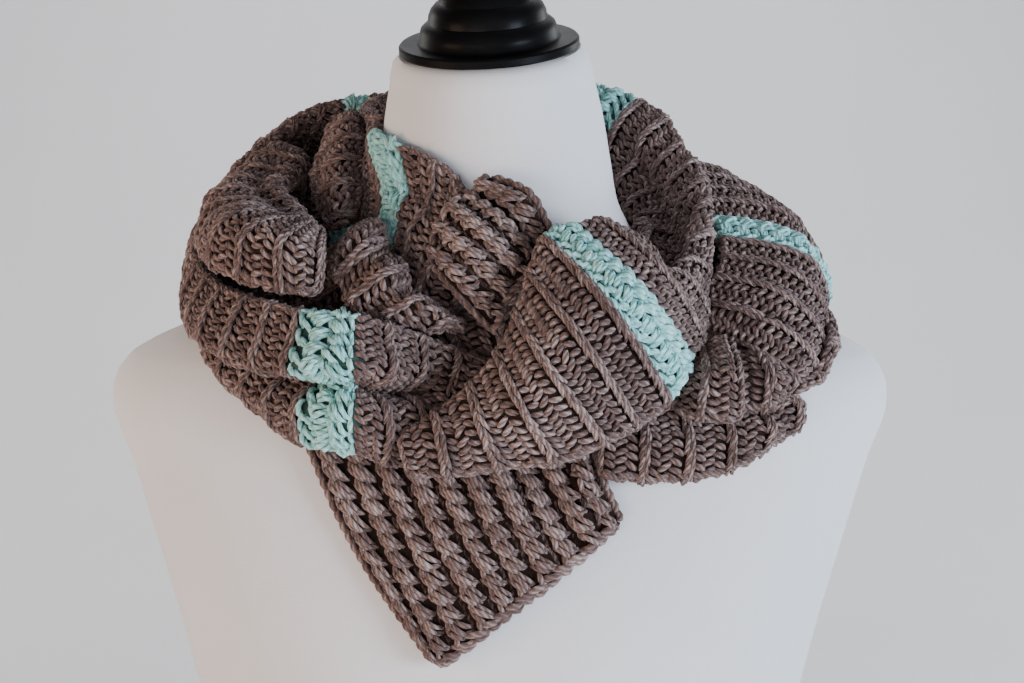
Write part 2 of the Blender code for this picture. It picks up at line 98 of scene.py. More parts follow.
# Rays that look for cover over a strand, each a tip from straight out and a turn round it, in radians
COVER_RAYS = ((0.0, 0.0), (0.9, 0.0), (0.9, 1.57), (0.9, 3.14), (0.9, 4.71))
COVER_REACH = 11.0
COVER_START = 0.6
COVER_SKIP = 3
FORM_TOP = 140.0

FORM_SIDES = 128
FORM_STEP = 7.0
SHARP_ANGLE = 40.0
TORSO_SQUARENESS = 2.3
NECK_SQUARENESS = 2.0
NECK_ROOT = 5.0
NECK_FOOT = 52.0
NECK_TOP = 145.0
NECK_LEAN_X = -5.0
CAP_TILT_FORWARD = 12.5
CAP_TILT_SIDE = 3.4
CAP_GAP = 0.3
CAP_SINK = 1
CAP_BACK = 1.5
CAP_SIDES = 96

FormRing = namedtuple("FormRing", "height half_width front back")
FORM_RINGS = (
    FormRing(-530, 154, 96, 102),
    FormRing(-524, 158, 100, 106),
    FormRing(-460, 161, 103, 108),
    FormRing(-385, 146, 94, 98),
    FormRing(-320, 129, 86, 86),
    FormRing(-250, 137, 99, 88),
    FormRing(-190, 147, 110, 93),
    FormRing(-140, 159, 111, 97),
    FormRing(-95, 172, 105, 97),
    FormRing(-55, 184, 95, 93),
    FormRing(-28, 193, 86, 88),
    FormRing(-12, 190, 79, 84),
    FormRing(-3, 182, 74, 80),
    FormRing(5, 167, 70, 77),
    FormRing(14, 144, 66, 75),
    FormRing(23, 118, 62, 73),
    FormRing(32, 96, 59, 71),
    FormRing(42, 79, 56, 69),
    FormRing(53, 68, 53, 65),
    FormRing(68, 60, 51, 60),
    FormRing(88, 57, 51, 54),
    FormRing(112, 54, 51, 47),
    FormRing(132, 50, 51, 42),
    FormRing(142, 48, 50, 39),
    FormRing(145, 45, 47, 36),
)

# The turned cap, each a radius and a height above its own foot
Turn = namedtuple("Turn", "radius height")
CAP_PROFILE = (
    Turn(43.5, 0), Turn(44.5, 1), Turn(44.5, 3.8), Turn(43.6, 4.8), Turn(35.5, 5.0), Turn(34.4, 6.2),
    Turn(34.2, 9), Turn(33.0, 12.5), Turn(30.6, 14.6), Turn(29.4, 15.2), Turn(29.0, 18.5),
    Turn(27.6, 21.6), Turn(25.4, 24), Turn(23.8, 24.8), Turn(22.6, 28), Turn(19, 31.5), Turn(14.5, 33.6),
)
KNOB_PROFILE = (
    Turn(12.5, 0), Turn(11.4, 2.5), Turn(11.2, 6), Turn(13.2, 8.4), Turn(16.6, 11.4), Turn(18.6, 16),
    Turn(19.0, 20.5), Turn(17.6, 26), Turn(13.8, 30.6), Turn(8.0, 33.4),
)
CAP_HEIGHT = 33.6

# Each run of cloth goes along its rows, and each row is one line across the cloth
OuterRow = namedtuple("OuterRow", "top upper lower hem")
Row = namedtuple("Row", "neck_edge middle free_edge")
Curl = namedtuple("Curl", "radius turn")
Fold = namedtuple("Fold", "start_row start_across end_row end_across depth half_width")
NO_CURL = Curl(0, 0)

# The outer wrap: the right shoulder, the back, the left shoulder, and the left front
OUTER_WRAP = (
    OuterRow((100, -60, 13), (124, -78, 6), (143, -70, -9), (139, -62, -18)),
    OuterRow((98, -52, 27), (128, -70, 21), (150, -57, -4), (147, -49, -13)),
    OuterRow((107, -43, 41), (133, -52, 36), (156, -38, 9), (153, -30, 0)),
    OuterRow((109, -20, 56), (137, -22, 50), (161, -15, 26), (158, -6, 8)),
    OuterRow((104, 6, 67), (134, 4, 62), (160, 2, 40), (158, 8, 10)),
    OuterRow((98, 34, 78), (127, 38, 74), (150, 32, 57), (149, 32, 18)),
    OuterRow((88, 66, 92), (107, 76, 84), (127, 74, 62), (125, 68, 22)),
    OuterRow((68, 92, 106), (79, 106, 86), (88, 106, 56), (84, 84, 20)),
    OuterRow((36, 104, 112), (40, 120, 88), (42, 118, 54), (40, 84, 22)),
    OuterRow((0, 108, 116), (0, 126, 90), (0, 123, 56), (0, 84, 24)),
    OuterRow((-36, 106, 119), (-38, 124, 92), (-38, 121, 58), (-36, 83, 26)),
    OuterRow((-70, 98, 120), (-77, 116, 92), (-77, 114, 58), (-73, 80, 24)),
    OuterRow((-100, 84, 114), (-113, 102, 86), (-114, 100, 52), (-107, 74, 16)),
    OuterRow((-124, 64, 98), (-139, 82, 74), (-140, 80, 44), (-131, 60, 10)),
    OuterRow((-143, 42, 76), (-154, 54, 54), (-153, 50, 28), (-144, 40, 6)),
    OuterRow((-152, 6, 53), (-156, 4, 37), (-153, 0, 20), (-146, -6, 8)),
    OuterRow((-147, -32, 42), (-152, -40, 25), (-147, -46, 10), (-140, -46, 2)),
    OuterRow((-132, -66, 34), (-140, -76, 17), (-136, -80, 0), (-127, -74, -12)),
    OuterRow((-112, -91, 30), (-118, -99, 13), (-116, -101, -8), (-109, -90, -24)),
    OuterRow((-90, -109, 27), (-92, -119, 10), (-92, -119, -14), (-91, -108, -32)),
    OuterRow((-64, -120, 26), (-64, -130, 9), (-64, -131, -16), (-64, -122, -34)),
    OuterRow((-40, -108, 17), (-40, -117, 0), (-40, -119.8, -24), (-41.4, -115.8, -39.6)),
    OuterRow((-20, -100, 8), (-20, -106, -6), (-21, -107, -21), (-22, -107, -33)),
    OuterRow((0, -93, 0), (0, -97, -9), (0, -99, -16), (0, -100, -23)),
)
OUTER_NODES = (("outer_right", 0, 6), ("back_wrap", 6, 13), ("left_side", 13, 17), ("front_left", 17, 23))
OUTER_FOLDS = (
    Fold(0.3, 0.15, 1.3, 0.52, -4, 0.09),
    Fold(2.2, 0.50, 4.6, 0.40, 3, 0.12),
    Fold(6.5, 0.58, 9.5, 0.50, -7, 0.08),
    Fold(9.0, 0.30, 13.0, 0.40, -6, 0.08),
    Fold(10.0, 0.72, 14.5, 0.66, 5, 0.10),
    Fold(16.4, 0.64, 19.2, 0.52, -8, 0.07),
    Fold(18.6, 0.53, 21.6, 0.40, -9, 0.08),
    Fold(19.0, 0.34, 21.2, 0.26, 4, 0.10),
    Fold(21.0, 0.40, 22.5, 0.20, -5, 0.10),
    Fold(19.5, 0.76, 21.8, 0.72, 3, 0.12),
)

# The inner wrap: the right front, the right of the neck, the nape, and the left of the neck
INNER_WRAP = (
    Row((-43, -130, -30), (-42, -132, -36), (-40, -129, -43)),
    Row((-23, -127, -16), (-19, -136, -29), (-17, -130, -42)),
    Row((-9, -126, -4), (-3, -139, -20), (6, -131, -38)),
    Row((1, -122, 10), (13, -142, -12), (27, -133, -36)),
    Row((9, -114, 28), (27, -140, 3), (49, -129, -27)),
    Row((16, -104, 45), (39, -134, 18), (63, -121, -20)),
    Row((23, -92, 59), (51, -125, 32), (78, -109, -11)),
    Row((39, -82, 64), (66, -111, 41), (89, -89, 7)),
    Row((53, -70, 65), (78, -92, 49), (97, -68, 15)),
    Row((66, -54, 53), (86, -64, 50), (99, -53, 40)),
    Row((66, -26, 50), (85, -30, 55), (100, -20, 65)),
    Row((63, 6, 58), (79, 8, 73), (96, 20, 87)),
    Row((57, 34, 72), (69, 42, 98), (84, 58, 110)),
    Row((42, 60, 78), (52, 66, 110), (62, 84, 121)),
    Row((0, 68, 80), (0, 76, 111), (0, 92, 124)),
    Row((-37, 62, 81), (-44, 70, 109), (-56, 84, 121)),
    Row((-57, 36, 70), (-60, 42, 96), (-66, 56, 113)),
    Row((-63, 2, 63), (-60, 14, 90), (-61, 28, 108)),
    Row((-59, -28, 57), (-54, -14, 84), (-50, 4, 101)),
    Row((-52, -54, 44), (-43, -42, 71), (-36, -26, 92)),
    Row((-44, -72, 30), (-32, -63, 58), (-23, -47, 82)),
    Row((-34, -84, 20), (-24, -74, 46), (-14, -57, 71)),
    Row((-22, -78, 28), (-12, -78, 46), (-2, -62, 68)),
)
INNER_NODES = (("front_right", 0, 9), ("right_collar", 9, 13), ("nape_collar", 13, 15),
               ("left_collar", 15, 22))
INNER_FOLDS = (
    Fold(9.4, 0.20, 10.4, 0.85, -5, 0.09),
    Fold(11.2, 0.15, 11.6, 0.85, -3, 0.08),
    Fold(17.5, 0.60, 20.5, 0.45, -4, 0.10),
)

LEFT_ROLL = (
    Row((-102, 50, 92), (-116, 61, 96), (-127, 59, 85)),
    Row((-108, 18, 84), (-130, 26, 82), (-139, 25, 68)),
    Row((-112, -14, 79), (-141, -4, 72), (-146, 0, 60)),
    Row((-101, -40, 71), (-135, -41, 66), (-142, -41, 51)),
    Row((-92, -58, 65), (-119, -80, 62), (-125, -80, 45)),
    Row((-89, -71, 64), (-102, -96, 55), (-104, -97, 39)),
    Row((-84, -76, 62), (-88, -101, 51), (-88, -101, 37)),
    Row((-80, -74, 58), (-79, -93, 48), (-80, -93, 37)),
)
LEFT_ROLL_FOLDS = (
    Fold(1.0, 0.30, 3.6, 0.22, -4, 0.10),
    Fold(3.2, 0.80, 5.4, 0.66, 3, 0.12),
)
LEFT_HIDDEN = (
    Row((-64, 62, 40), (-92, 64, 30), (-122, 50, 16)),
    Row((-74, 22, 49), (-98, 22, 34), (-136, 12, 14)),
    Row((-75, -18, 51), (-98, -22, 35), (-136, -20, 13)),
    Row((-64, -46, 38), (-86, -52, 20), (-118, -52, 4)),
    Row((-42, -66, 16), (-62, -74, 2), (-86, -76, -12)),
)
COLLAR_LOBE = (
    Row((-77, 51, 113), (-82, 44, 114), (-91, 50, 106)),
    Row((-72, 24, 102), (-80, 14, 104), (-94, 28, 92)),
    Row((-68, 0, 88), (-81, -10, 90), (-96, 6, 81)),
    Row((-71, -18, 76), (-80, -29, 76), (-92, -13, 69)),
    Row((-74, -33, 64), (-78, -38, 65), (-84, -31, 61)),
)
RIGHT_BULGE = (
    Row((85, -66, 1), (84, -86, -9), (82, -86, -21)),
    Row((97, -67, 7), (97, -98, -6), (94, -95, -24)),
    Row((104, -72, 11), (106, -101, -3), (106, -94, -25)),
    Row((115, -76, 6), (117, -88, -5), (117, -85, -22)),
    Row((127, -78, 1), (131, -86, -7), (129, -82, -19)),
    Row((135, -72, -6), (139, -73, -11), (137, -71, -16)),
)
RIGHT_BULGE_FOLDS = (
    Fold(2.9, 0.0, 3.0, 1.0, -5, 0.06),
)
LOWER_FLAP = (
    Row((51, -90, -22), (51, -106, -33), (50, -111, -46)),
    Row((80, -83, -20), (82, -103, -36), (80, -107, -49)),
    Row((104, -79, -21), (107, -96, -35), (106, -100, -46)),
    Row((128, -74, -22), (133, -84, -29), (130, -86, -37)),
    Row((142, -66, -18), (146, -70, -24), (143, -68, -30)),
)
TAIL_FRONT = (
    Row((-90, -88, -32), (-67, -103, -81), (-31, -116, -133)),
    Row((-74, -90, -32), (-52, -107, -81), (-26, -119, -133)),
    Row((-44, -93, -35), (-27, -111, -73), (-4, -120, -116)),
    Row((-13, -94, -37), (1, -111, -65), (18, -118, -99)),
    Row((14, -93, -36), (24, -108, -58), (39, -114, -83)),
    Row((41, -92, -32), (46, -103, -50), (55, -107, -70)),
)
TAIL_FRONT_FOLDS = (
    Fold(4.2, 0.98, 4.8, 0.30, 5, 0.09),
    Fold(3.7, 0.20, 4.0, 0.90, -3, 0.06),
)
CENTRE_FOLDS = (
    Row((-64, -40, 62), (-71, -52, 59), (-79, -54, 50)),
    Row((-57, -62, 61), (-67, -82, 57), (-76, -79, 43)),
    Row((-48, -78, 51), (-57, -96, 49), (-73, -94, 36)),
    Row((-40, -88, 38), (-50, -104, 38), (-64, -104, 29)),
    Row((-29, -93, 29), (-37, -106, 31), (-48, -107, 25)),
    Row((-17, -94, 21), (-23, -101, 22), (-30, -101, 18)),
)
CENTRE_CREASES = (
    Fold(1.6, 0.00, 1.7, 1.00, -6, 0.07),
    Fold(3.1, 0.00, 3.2, 1.00, -5, 0.06),
    Fold(0.9, 0.30, 1.0, 0.80, 4, 0.10),
)
TAIL_CENTRE = (
    Row((-31, -86, 50), (-17, -101, 36), (0, -98, 19)),
    Row((-29, -78, 64), (-11, -98, 50), (6, -95, 33)),
    Row((-17, -71, 80), (2, -90, 66), (18, -86, 47)),
    Row((-4, -66, 88), (15, -79, 79), (26, -78, 59)),
)
THROAT_FOLD = (
    Row((-50, -74, 24), (-44, -84, 17), (-40, -92, 12)),
    Row((-28, -78, 24), (-24, -84, 16), (-20, -90, 9)),
    Row((2, -80, 24), (3, -84, 14), (4, -87, 5)),
)

# How far each loose fold is moved to lie against the cloth or the form behind it
SETTLES = {
    "tail_centre": (-0.6, 4.3, -2.1),
    "throat_fold": (0.1, -1.7, -1.3),
    "lower_flap": (-2.0, 4.2, -1.8),
    "left_roll": (-1.8, 0.3, 1.5),
    "collar_lobe": (2.5, 0.1, -0.3),
    "centre_folds": (1.2, 1.0, -1.5),
}

# Where the mint bands lie, by row number
OUTER_BANDS = ((2.9, 3.7), (11.0, 11.45), (19.0, 20.0))
INNER_BANDS = ((6.0, 6.95), (12.65, 13.35), (18.4, 19.15))

# A strand's place is along from its cell's near edge and across from its repeat's middle. Its angle
# is from the cloth's length, it rises by lift and arch, and it sinks at its ends. Its lift also sets
# painted shade on it: a sunk strand is coloured darker and a raised one lighter.
Strand = namedtuple("Strand", "along across angle length radius lift arch sink")
Chart = namedtuple("Chart", "pitch repeat strands")
RIDGE_CHART = Chart(RIDGE_PITCH, 5.4, (
    Strand(16.6, 0.0, 101, 9.0, 1.12, 1.5, 0.9, 1.1),
    Strand(18.6, 2.7, 79, 9.0, 1.12, 1.5, 0.9, 1.1),
))
FIELD_CHART = Chart(RIDGE_PITCH, 4.3, (
    Strand(2.2, 0.0, 24, 6.9, 1.42, 0.35, 0.9, 2.0),
    Strand(7.0, 2.1, -24, 6.9, 1.42, 0.35, 0.9, 2.0),
    Strand(12.0, 0.0, 24, 6.9, 1.42, 0.35, 0.9, 2.0),
))
BAND_CHART = Chart(23.0, 8.6, (
    Strand(8.1, -2.0, -32, 8.8, 1.36, 0.9, 1.7, 2.4),
    Strand(9.3, 0.0, -32, 9.4, 1.4, 1.4, 2.0, 2.4),
    Strand(10.5, 2.0, -32, 8.8, 1.36, 0.9, 1.7, 2.4),
    Strand(14.9, -3.0, 52, 9.8, 1.34, 0.8, 1.7, 2.4),
    Strand(16.7, -4.4, 52, 10.6, 1.38, 1.4, 2.0, 2.4),
    Strand(18.5, -5.8, 52, 9.8, 1.34, 0.8, 1.7, 2.4),
    Strand(1.0, 0.4, 82, 8.4, 1.3, 0.7, 1.1, 1.4),
    Strand(3.8, 3.4, 40, 7.6, 1.35, 0.9, 1.3, 2.0),
    Strand(4.9, 5.5, 40, 6.6, 1.25, 0.6, 1.1, 2.0),
    Strand(5.6, -0.4, 84, 8.4, 1.4, -0.5, 0.5, 0.8),
    Strand(12.9, 1.0, 84, 9.0, 1.5, -0.4, 0.5, 0.8),
    Strand(16.0, 0.6, 84, 8.6, 1.4, -0.6, 0.5, 0.8),
    Strand(21.2, 0.8, 80, 8.8, 1.4, 0.3, 0.9, 1.2),
))
RIB_CHART = Chart(RIB_PITCH, 8.6, (
    Strand(7.6, -1.3, 60, 10.2, 1.3, 1.5, 1.3, 2.6),
    Strand(5.6, -0.1, 60, 10.8, 1.35, 2.4, 1.6, 2.8),
    Strand(3.6, 1.1, 60, 10.2, 1.3, 1.8, 1.3, 2.6),
    Strand(2.6, 4.3, 98, 6.2, 1.25, 0.9, 1.0, 2.0),
    Strand(8.4, 3.2, 20, 5.2, 1.15, 0.7, 0.8, 1.8),
    Strand(11.3, 0.0, 84, 9.2, 1.3, -1.5, 0.4, 0.5),
))
EDGE_CHART = Chart(0, 5.6, (
    Strand(0.0, -1.5, 17, 8.6, 1.3, 0.5, 0.9, 1.2),
    Strand(2.8, 1.5, -17, 8.6, 1.3, 0.5, 0.9, 1.2),
))
BORDER_CHART = Chart(0, 7.0, (
    Strand(0.0, -2.0, 16, 9.8, 1.65, 0.7, 1.0, 1.3),
    Strand(1.8, 0.1, 8, 8.6, 1.5, 0.9, 0.9, 1.3),
    Strand(3.5, 2.0, -16, 9.8, 1.65, 0.7, 1.0, 1.3),
))
RIB_EDGE = 4.0
RIB_BULK = 1.3

# Creases deeper than those of the solids
DEEP_FOLDS = (
    Fold(16.6, 0.62, 19.4, 0.51, -9, 0.06),
    Fold(18.4, 0.53, 22.0, 0.40, -11, 0.06),
    Fold(17.0, 0.42, 20.6, 0.34, 4, 0.08),
)
FUNNEL_FOLDS = (
    Fold(8.0, 0.46, 12.0, 0.44, -12, 0.15),
)
LOBE_FOLDS = (
    Fold(2.3, 0.05, 2.5, 1.00, -7, 0.06),
)
EDGE_CURL = Curl(5, 70)
ROLL_CURL = Curl(7, 95)

# A run with no nodes of its own listed stands in place of the one solid that it is named for
Run = namedtuple("Run", "name rows nodes bands folds neck_curl free_curl ribbed rests_on",
                 defaults=((), (), (), NO_CURL, NO_CURL, False, ["form_cover"]))
RUNS = (
    Run("outer_wrap", OUTER_WRAP, OUTER_NODES, OUTER_BANDS, OUTER_FOLDS + DEEP_FOLDS, NO_CURL, EDGE_CURL),
    Run("inner_wrap", INNER_WRAP, INNER_NODES, INNER_BANDS, INNER_FOLDS + FUNNEL_FOLDS, EDGE_CURL, EDGE_CURL),
    Run("left_roll", LEFT_ROLL, folds=LEFT_ROLL_FOLDS, neck_curl=ROLL_CURL, free_curl=EDGE_CURL,
        rests_on=["outer_wrap_cloth"]),
    Run("left_hidden", LEFT_HIDDEN),
    Run("collar_lobe", COLLAR_LOBE, rests_on=["inner_wrap_cloth"]),
    Run("centre_folds", CENTRE_FOLDS, folds=CENTRE_CREASES),
    Run("throat_fold", THROAT_FOLD),
    Run("right_bulge", RIGHT_BULGE, folds=RIGHT_BULGE_FOLDS, rests_on=["outer_wrap_cloth"]),
    Run("lower_flap", LOWER_FLAP),
    Run("tail_front", TAIL_FRONT, folds=TAIL_FRONT_FOLDS, ribbed=True),
    Run("tail_centre", TAIL_CENTRE, folds=LOBE_FOLDS, ribbed=True),
)


def distances(points):
    """Distance of each point along the line through them."""
    steps = np.linalg.norm(np.diff(points, axis=0), axis=1)
    return np.concatenate([[0.0], np.cumsum(steps)])


def unit(vectors):
    """The vectors along an array's last axis, each made one long."""
    return vectors / np.maximum(np.linalg.norm(vectors, axis=-1, keepdims=True), TINY)


def heading(start, end):
    """The unit vector from one point to another."""
    return (end - start) / np.linalg.norm(end - start)


def read_along(at, length, values):
    """Points or vectors read at distances along a line."""
    return np.stack([np.interp(at, length, values[:, k]) for k in range(3)], axis=1)


def loop_quads(number):
    """Faces between neighbouring closed loops of numbered points."""
    after = np.roll(number, -1, axis=1)
    return np.stack([number[:-1], number[1:], after[1:], after[:-1]], axis=-1).reshape(-1, 4)


def smooth_through(knots, values, places):
    """A smooth curve through the values at the knots, read at the places."""
    slopes = np.gradient(values, knots, axis=0)
    left = np.clip(np.searchsorted(knots, places, side="right") - 1, 0, len(knots) - 2)
    gap = (knots[left + 1] - knots[left]).reshape((-1,) + (1,) * (values.ndim - 1))
    t = (places - knots[left]).reshape(gap.shape) / gap
    return (
        (2 * t**3 - 3 * t**2 + 1) * values[left]
        + (t**3 - 2 * t**2 + t) * gap * slopes[left]
        + (3 * t**2 - 2 * t**3) * values[left + 1]
        + (t**3 - t**2) * gap * slopes[left + 1]
    )


def form_ring(height):
    """Half width, front and back reach, and squareness of the form at some heights."""
    table = np.array(FORM_RINGS, float)
    sizes = smooth_through(table[:, 0], table[:, 1:], np.clip(height, table[0, 0], table[-1, 0]))
    into_neck = np.clip((height - NECK_ROOT) / (NECK_FOOT - NECK_ROOT), 0, 1)
    squareness = TORSO_SQUARENESS + (NECK_SQUARENESS - TORSO_SQUARENESS) * into_neck
    return sizes, squareness


def form_level(points):
    """A number for each point that is below 0 inside the form, and above it outside."""
    sizes, squareness = form_ring(points[:, 2])
    depth = np.where(points[:, 1] < 0, sizes[:, 1], sizes[:, 2])
    across = np.abs(points[:, 0]) / sizes[:, 0]
    along = np.abs(points[:, 1]) / depth
    return (across**squareness + along**squareness) ** (1 / squareness) - 1


def outside_form(points):
    """How far points lie outside the form, roughly, and the way out of it."""
    steps = SLOPE_STEP * np.eye(3)
    slope = np.stack([(form_level(points + step) - form_level(points - step)) / (2 * SLOPE_STEP)
                      for step in steps], axis=1)
    steep = np.maximum(np.linalg.norm(slope, axis=1), LEAST_SLOPE)
    return form_level(points) / steep, slope / steep[:, None]


def rest_on_form(grid, clearance):
    """The cloth's points, with those too near the form moved out to lie on it."""
    points = grid.reshape(-1, 3).copy()
    for _ in range(REST_ROUNDS):
        distance, way = outside_form(points)
        points += way * np.clip(clearance - distance, 0, None)[:, None]
    return points.reshape(grid.shape)


def normals_of(grid):
    """Unit vectors out of the cloth's showing face."""
    return unit(np.cross(np.gradient(grid, axis=1), np.gradient(grid, axis=0)))


def curl_edge(edge, inward, normal, curl):
    """Points that carry a row on past its edge, round a curl to the hidden side."""
    if not curl.turn:
        return []
    turns = np.radians(np.linspace(0, curl.turn, CURL_STEPS + 1))[1:]
    return [edge - inward * curl.radius * math.sin(a) + normal * curl.radius * (math.cos(a) - 1)
            for a in turns]


def fold_height(folds, row_number, across):
    """How far the folds lift or sink the cloth, by row number and share of the way across."""
    height = np.zeros(np.broadcast(row_number, across).shape)
    for fold in folds:
        rows_long = max(fold.end_row - fold.start_row, TINY)
        share = (row_number - fold.start_row) / rows_long
        if rows_long < SHORT_FOLD:
            off = (row_number - fold.start_row - rows_long * across) / (fold.half_width * ROW_WIDTHS)
            fade = np.ones(height.shape)
        else:
            line = fold.start_across + (fold.end_across - fold.start_across) * share
            off = (across - line) / fold.half_width
            fade = np.clip(np.minimum(share + FOLD_FADE, 1 + FOLD_FADE - share) / (2 * FOLD_FADE), 0, 1)
        height = height + fold.depth * np.exp(-off**2) * fade**2 * (3 - 2 * fade)
    return height


def lay_cloth(run, rows, row_at, places):
    """A grid of points on the cloth's showing face, at distances along its rows."""
    guides = smooth_through(row_at, rows, places)
    fine = np.array([smooth_through(distances(g), g, np.linspace(0, distances(g)[-1], ACROSS_POINTS))
                     for g in guides])
    grid = []
    for line, normal in zip(fine, normals_of(fine)):
        start = curl_edge(line[0], heading(line[0], line[1]), normal[0], run.neck_curl)
        end = curl_edge(line[-1], heading(line[-1], line[-2]), normal[-1], run.free_curl)
        whole = np.array(start[::-1] + list(line) + end)
        length = distances(whole)
        grid.append(read_along(np.linspace(0, length[-1], ACROSS_POINTS), length, whole))
    return np.array(grid)


def slack(shape):
    """Small soft unevenness of hand-made cloth: two waves that run aslant, in millimetres."""
    i = np.arange(shape[0])[:, None] * STATION_STEP
    j = np.arange(shape[1])[None, :] * (STATION_STEP + 0.4)
    return (BROAD_SLACK * np.sin(i / 17 + 1.3 * np.sin(j / 31)) * np.sin(j / 13 + 0.7)
            + FINE_SLACK * np.sin(i / 8.5 - j / 19 + 2))


class Cloth:
    """A run of cloth as closed loops of points, one loop round the cloth at each station along it."""

    def __init__(self, run):
        rows = np.array(run.rows, float) + SETTLES.get(run.name, (0, 0, 0))
        self.name = run.name
        self.row_at = distances(rows[:, 1])
        self.length = self.row_at[-1]
        count = max(FEWEST_STATIONS, round(self.length / STATION_STEP))
        self.places = np.linspace(0, self.length, count)
        grid = lay_cloth(run, rows, self.row_at, self.places)
        row_number = np.interp(self.places, self.row_at, np.arange(len(rows)))[:, None]
        across = np.linspace(0, 1, ACROSS_POINTS)[None, :]
        lift = fold_height(run.folds, row_number, across) + slack(grid.shape)
        grid = rest_on_form(grid + normals_of(grid) * lift[:, :, None], CLOTH_WALL + REST_GAP)
        self.facing = normals_of(grid)
        self.middle = grid - self.facing * CLOTH_WALL / 2
        self.bands = [(self.row_place(start), self.row_place(end)) for start, end in run.bands]
        self.wind_loops()

    def wind_loops(self):
        """Closes each row of the middle into a loop, and spaces its points evenly."""
        self.points = np.zeros((len(self.places), LOOP_POINTS, 3))
        self.normals = np.zeros_like(self.points)
        self.round = np.zeros(len(self.places))
        for i, (line, face) in enumerate(zip(self.middle, self.facing)):
            free = heading(line[-2], line[-1])
            neck = heading(line[1], line[0])
            free_rim = np.array([face[-1] * math.cos(t) + free * math.sin(t) for t in RIM_TURNS])
            neck_rim = np.array([-face[0] * math.cos(t) + neck * math.sin(t) for t in RIM_TURNS])
            ways = np.concatenate([neck_rim[2:], face, free_rim, -face[::-1], neck_rim[:3]])
            middles = np.concatenate([np.repeat(line[:1], 3, 0), line, np.repeat(line[-1:], 5, 0),
                                      line[::-1], np.repeat(line[:1], 3, 0)])
            loop = middles + ways * SHELL_HALF
            length = distances(loop)
            evenly = np.linspace(0, length[-1], LOOP_POINTS + 1)[:-1]
            self.round[i] = length[-1]
            self.points[i] = read_along(evenly, length, loop)
            self.normals[i] = read_along(evenly, length, ways)
        self.normals = unit(self.normals)
        along = np.linalg.norm(np.gradient(self.points, axis=0), axis=2)
        self.stretch = np.clip(along / np.gradient(self.places)[:, None], *STRETCH_LIMITS)

    def at(self, values, place, share):
        """A grid's values at places along the run and shares of the way round its loops."""
        row = np.clip(np.interp(place, self.places, np.arange(len(self.places))), 0, len(self.places) - 1.001)
        column = (share % 1) * LOOP_POINTS
        i, j = row.astype(int), column.astype(int) % LOOP_POINTS
        a, b = row - i, column - column.astype(int)
        if values.ndim == 3:
            a, b = a[..., None], b[..., None]
        k = (j + 1) % LOOP_POINTS
        return ((values[i, j] * (1 - b) + values[i, k] * b) * (1 - a)
                + (values[i + 1, j] * (1 - b) + values[i + 1, k] * b) * a)

    def row_place(self, row_number):
        return float(np.interp(row_number, np.arange(len(self.row_at)), self.row_at))

    def loop_at(self, place):
        """How long the loop round the cloth is at places along it."""
        return np.interp(place, self.places, self.round)

    def mint_at(self, places):
        """1 at places along the run that lie in a mint band, and 0 elsewhere."""
        mint = np.zeros(len(places))
        for start, end in self.bands:
            mint[(places > start) & (places < end)] = 1
        return mint


def cells_of(cloth):
    """The run's cells between raised rows, as (start, end, is a mint band)."""
    starts = [0.0] + [b for _, b in cloth.bands]
    ends = [a for a, _ in cloth.bands] + [cloth.length]
    cells = []
    for k, (start, end) in enumerate(zip(starts, ends)):
        count = max(1, round((end - start) / RIDGE_PITCH))
        marks = np.linspace(start, end, count + 1)
        cells += [(a, b, False) for a, b in zip(marks[:-1], marks[1:])]
        if k < len(cloth.bands):
            cells.append((*cloth.bands[k], True))
    return cells


def strand_rows(place, share, strand, size, wide, band):
    """Rows of place, share, angle, length, radius, lift, arch, sink and band for copies of a strand."""
    count = len(place)
    filled = np.tile([strand.angle, strand.length * size, strand.radius * wide,
                      strand.lift, strand.arch, strand.sink, 0.0], (count, 1))
    filled[:, -1] = band
    return np.column_stack([place, share, filled])


def chart_strands(cloth, chart, start, width, band):
    """The strands of one chart in one cell, repeated all the way round the cloth's loops."""
    loops = cloth.loop_at(np.linspace(start, start + width, 5))
    count = max(3, round(float(loops.mean()) / chart.repeat))
    share = (np.arange(count) + 0.5) / count
    stretch = width / chart.pitch
    rows = []
    for strand in chart.strands:
        place = np.full(count, np.clip(start + strand.along * stretch, 0.5, cloth.length - 0.5))
        loop = cloth.loop_at(place[0])
        step = loop / count / chart.repeat
        turn = abs(math.sin(math.radians(strand.angle)))
        size = stretch * (1 - turn) + step * turn
        rows.append(strand_rows(place, share + strand.across * step / loop, strand, size, step**0.5, band))
    return np.concatenate(rows)


def edge_strands(cloth, share, chart):
    """A chain of strands along one edge of the cloth."""
    count = max(2, round(cloth.length / chart.repeat))
    start = np.arange(count) * cloth.length / count
    rows = []
    for strand in chart.strands:
        place = np.clip(start + strand.along, 2, cloth.length - 2)
        across = share + strand.across / cloth.loop_at(place)
        rows.append(strand_rows(place, across, strand, 1.0, 1.0, cloth.mint_at(place)))
    return np.concatenate(rows)


def stitches(cloth):
    """Every strand of a run in raised rows, with its bands and its two edges."""
    found = []
    for start, end, band in cells_of(cloth):
        for chart in (BAND_CHART,) if band else (FIELD_CHART, RIDGE_CHART):
            found.append(chart_strands(cloth, chart, start, end - start, int(band)))
    return np.concatenate(found + [edge_strands(cloth, share, EDGE_CHART) for share in (0.0, 0.5)])


def rib_stitches(cloth):
    """Every strand of a ribbed end, its ropes stopping short of the chains along its edges."""
    count = max(1, round(cloth.length / RIB_PITCH))
    marks = np.linspace(0, cloth.length, count + 1)
    ribs = np.concatenate([chart_strands(cloth, RIB_CHART, a, b - a, 0) for a, b in zip(marks, marks[1:])])
    from_edge = np.abs((ribs[:, 1] * 2 + 0.5) % 1 - 0.5) * cloth.loop_at(ribs[:, 0]) / 2
    borders = [edge_strands(cloth, share, BORDER_CHART) for share in (0.0, 0.5)]
    return np.concatenate([ribs[from_edge > RIB_EDGE]] + borders)


